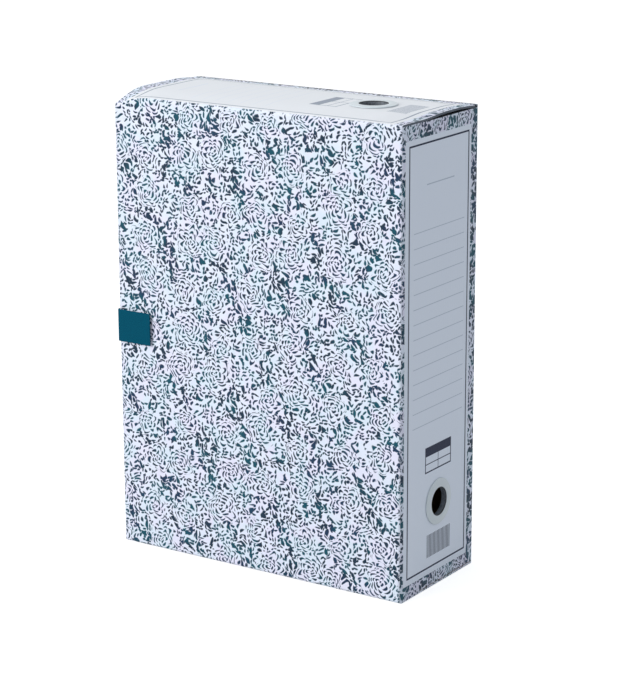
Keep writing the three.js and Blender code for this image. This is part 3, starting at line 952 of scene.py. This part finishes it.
def wovenTape(values):
    material, tree = newMaterial("wovenNylonTape")
    place = addNode(tree, "ShaderNodeUVMap", uv_map="tapeMm")
    parts = addNode(tree, "ShaderNodeSeparateXYZ", [place])
    pull = 2 * math.pi / values["threadPitch"]
    warp = addNode(tree, "ShaderNodeMath", [parts, pull], operation="MULTIPLY")
    warp = addNode(tree, "ShaderNodeMath", [warp], operation="SINE")
    weft = addNode(tree, "ShaderNodeMath", [parts.node.outputs[1], pull], operation="MULTIPLY")
    weft = addNode(tree, "ShaderNodeMath", [weft], operation="SINE")
    weave = addNode(tree, "ShaderNodeMath", [warp, weft], operation="MULTIPLY")
    fuzz = addNode(
        tree, "ShaderNodeTexNoise",
        {"Vector": place, "Scale": values["fuzzScale"], "Detail": 4.0, "Roughness": 0.7},
        noise_dimensions="2D",
    )
    height = addNode(
        tree, "ShaderNodeMath", [weave, values["threadHeight"], fuzz], operation="MULTIPLY_ADD"
    )
    tone = addNode(tree, "ShaderNodeMapRange", [height, 0.25, 0.85, 0.0, 1.0])
    colour = addNode(
        tree, "ShaderNodeMix", {0: tone, 6: linear(values["deep"]), 7: linear(values["bright"])},
        out=2, data_type="RGBA",
    )
    bump = addNode(tree, "ShaderNodeBump", {"Height": height, "Strength": 0.6, "Distance": 0.0002})
    surface = {"Base Color": colour, "Roughness": 0.9, "Normal": bump}
    finishMaterial(tree, {**surface, "IOR": 1.53, "Specular IOR Level": 0.08})
    return material


# the tape's middle line seen from above: back along the flap, round the front edge on a quarter
# circle, and along the front face
def tapePath(low, high):
    thick, bend, step = tapeShape["thickness"], tapeShape["bend"], tapeShape["stepLength"]
    middleX, middleY = low[0] + thick / 2, low[1] + thick / 2
    straight = np.arange(high[1], middleY + bend, -step)
    side = np.stack([np.full(len(straight), middleX), straight], axis=1)
    turn = np.linspace(0, math.pi / 2, tapeShape["bendPoints"])
    corner = np.stack(
        [middleX + bend - bend * np.cos(turn), middleY + bend - bend * np.sin(turn)], axis=1
    )
    run = np.append(np.arange(middleX + bend + step, high[0], step), high[0])
    front = np.stack([run, np.full(len(run), middleY)], axis=1)
    return np.concatenate([side, corner, front])


# the tape's section, a flat strip with half round edges: thickness first, then height
def tapeSection(halfWidth, halfThick):
    angles = np.linspace(-math.pi / 2, math.pi / 2, tapeShape["edgePoints"])
    flat = halfWidth - halfThick
    across = np.linspace(-flat, flat, tapeShape["acrossPoints"])[1:-1]
    upperEdge = np.stack([halfThick * np.sin(angles), flat + halfThick * np.cos(angles)], axis=1)
    back = np.stack([np.full(len(across), halfThick), across[::-1]], axis=1)
    lowerEdge = np.stack([halfThick * np.sin(-angles), -flat - halfThick * np.cos(angles)], axis=1)
    face = np.stack([np.full(len(across), -halfThick), across], axis=1)
    return np.concatenate([upperEdge, back, lowerEdge, face])


# The section is carried along the path: its thickness runs across the path's direction, its height
# straight up, and neighbouring sections are joined by quads.
def makeTape():
    low, high = (np.array(corner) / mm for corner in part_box("closure_strap"))
    path = tapePath(low, high)
    section = tapeSection((high[2] - low[2]) / 2, tapeShape["thickness"] / 2)
    step = np.gradient(path, axis=0)
    step /= np.linalg.norm(step, axis=1, keepdims=True)
    outward = np.stack([step[:, 1], -step[:, 0]], axis=1)
    travelled = np.append(0, np.cumsum(np.linalg.norm(np.diff(path, axis=0), axis=1)))

    rings, count = len(path), len(section)
    flatPlace = path[:, None, :] + section[None, :, 0, None] * outward[:, None, :]
    upright = np.broadcast_to(section[:, 1] + (low[2] + high[2]) / 2, (rings, count))
    points = np.concatenate([flatPlace, upright[:, :, None]], axis=2)
    i, k = np.meshgrid(np.arange(rings - 1), np.arange(count), indexing="ij")
    nextI, nextK = i + 1, (k + 1) % count
    quads = np.stack(
        [i * count + k, i * count + nextK, nextI * count + nextK, nextI * count + k], axis=2
    )
    faces = quads.reshape(-1, 4).tolist()
    faces.append(list(range(count)))
    faces.append(list(range(rings * count - 1, (rings - 1) * count - 1, -1)))
    mesh = bpy.data.meshes.new("closureTape")
    mesh.from_pydata((points.reshape(-1, 3) * mm).tolist(), [], faces)
    turnOutward(mesh)
    corners = np.zeros(len(mesh.loops), int)
    mesh.loops.foreach_get("vertex_index", corners)
    u = np.repeat(travelled, count)[corners]
    v = np.tile(section[:, 1], rings)[corners]
    layer = mesh.uv_layers.new(name="tapeMm")
    layer.data.foreach_set("uv", np.stack([u, v], axis=1).ravel().astype(np.float32))
    mesh.shade_smooth()
    mesh.set_sharp_from_angle(angle=math.radians(tapeShape["smoothAngle"]))
    piece = addObject("closureTape", mesh, [wovenTape(tapeWeave)])
    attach(piece, "flap")
    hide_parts("closure_strap")


# Hook and loop pads: the same nylon, with a pile too fine to show as single loops
def tapePile(values):
    material, tree = newMaterial("nylonPile")
    place = addNode(tree, "ShaderNodeTexCoord", out="Object")
    pile = addNode(tree, "ShaderNodeTexVoronoi", {"Vector": place, "Scale": values["pileScale"]})
    colour = addNode(
        tree, "ShaderNodeMix", {0: pile, 6: linear(values["bright"]), 7: linear(values["deep"])},
        out=2, data_type="RGBA",
    )
    bump = addNode(tree, "ShaderNodeBump", {"Height": pile, "Strength": 0.8, "Distance": 0.0003})
    surface = {"Base Color": colour, "Roughness": 0.9, "Normal": bump}
    finishMaterial(tree, {**surface, "IOR": 1.53, "Specular IOR Level": 0.25})
    return material


makeTape()
finishSolids(("hook_pad", "loop_pad"), tapePile(tapeWeave))
print("tape made")


# Stage: a floor that is lifted to white where it is seen and keeps a soft shadow, and plain studio
# light from the left and above
stageSettings = {
    "floorSize": 8.0,
    "floorColour": "#c2c2c2",
    "floorLift": 0.74,
    "sky": 0.56,
    "skyColour": (0.93, 1.0, 1.1, 1.0),
    "white": (1.0, 1.0, 1.0, 1.0),
    "lampAim": (0.0, 0.0, 0.17),
}
lampSettings = {
    "key": {"place": (-1.6, -2.9, 1.4), "size": 1.6, "power": 82.0},
    "over": {"place": (-0.3, 0.3, 2.6), "size": 1.2, "power": 8.5},
}


# 1 for what is seen straight on, in a mirror or through glass, and 0 for light on other things
def seenDirectly(tree):
    path = addNode(tree, "ShaderNodeLightPath")
    seen = path
    for kind in ("Is Glossy Ray", "Is Transmission Ray"):
        seen = addNode(
            tree, "ShaderNodeMath", [seen, path.node.outputs[kind]], operation="MAXIMUM"
        )
    return seen


def makeFloor(values):
    half = values["floorSize"] / 2
    mesh = bpy.data.meshes.new("floor")
    corners = [(-half, -half, 0), (half, -half, 0), (half, half, 0), (-half, half, 0)]
    mesh.from_pydata(corners, [], [(0, 1, 2, 3)])
    material, tree = newMaterial("whitePaperFloor")
    lift = addNode(
        tree, "ShaderNodeMath", [seenDirectly(tree), values["floorLift"]], operation="MULTIPLY"
    )
    surface = {"Base Color": linear(values["floorColour"]), "Roughness": 1.0}
    surface |= {"Specular IOR Level": 0.0, "Emission Color": values["white"]}
    finishMaterial(tree, {**surface, "Emission Strength": lift})
    addObject("floor", mesh, [material])


def makeSky(values):
    world = bpy.data.worlds.new("studioSky")
    scene.world = world
    world.use_nodes = True
    tree = world.node_tree
    tree.nodes.clear()
    seen = seenDirectly(tree)
    strength = addNode(tree, "ShaderNodeMapRange", [seen, 0.0, 1.0, values["sky"], 1.0])
    colour = addNode(
        tree, "ShaderNodeMix", {0: seen, 6: values["skyColour"], 7: values["white"]},
        out=2, data_type="RGBA",
    )
    sky = addNode(tree, "ShaderNodeBackground", [colour, strength])
    output = tree.nodes.new("ShaderNodeOutputWorld")
    tree.links.new(sky, output.inputs["Surface"])


def makeLamp(name, values, aimedAt):
    data = bpy.data.lights.new(name, "AREA")
    data.energy = values["power"]
    data.size = values["size"]
    lamp = bpy.data.objects.new(name, data)
    scene.collection.objects.link(lamp)
    lamp.location = values["place"]
    aim = Vector(aimedAt) - lamp.location
    lamp.rotation_euler = aim.to_track_quat("-Z", "Y").to_euler()


makeFloor(stageSettings)
makeSky(stageSettings)
for name, values in lampSettings.items():
    makeLamp(name, values, stageSettings["lampAim"])
scene.view_settings.view_transform = "Standard"
print("stage lit")
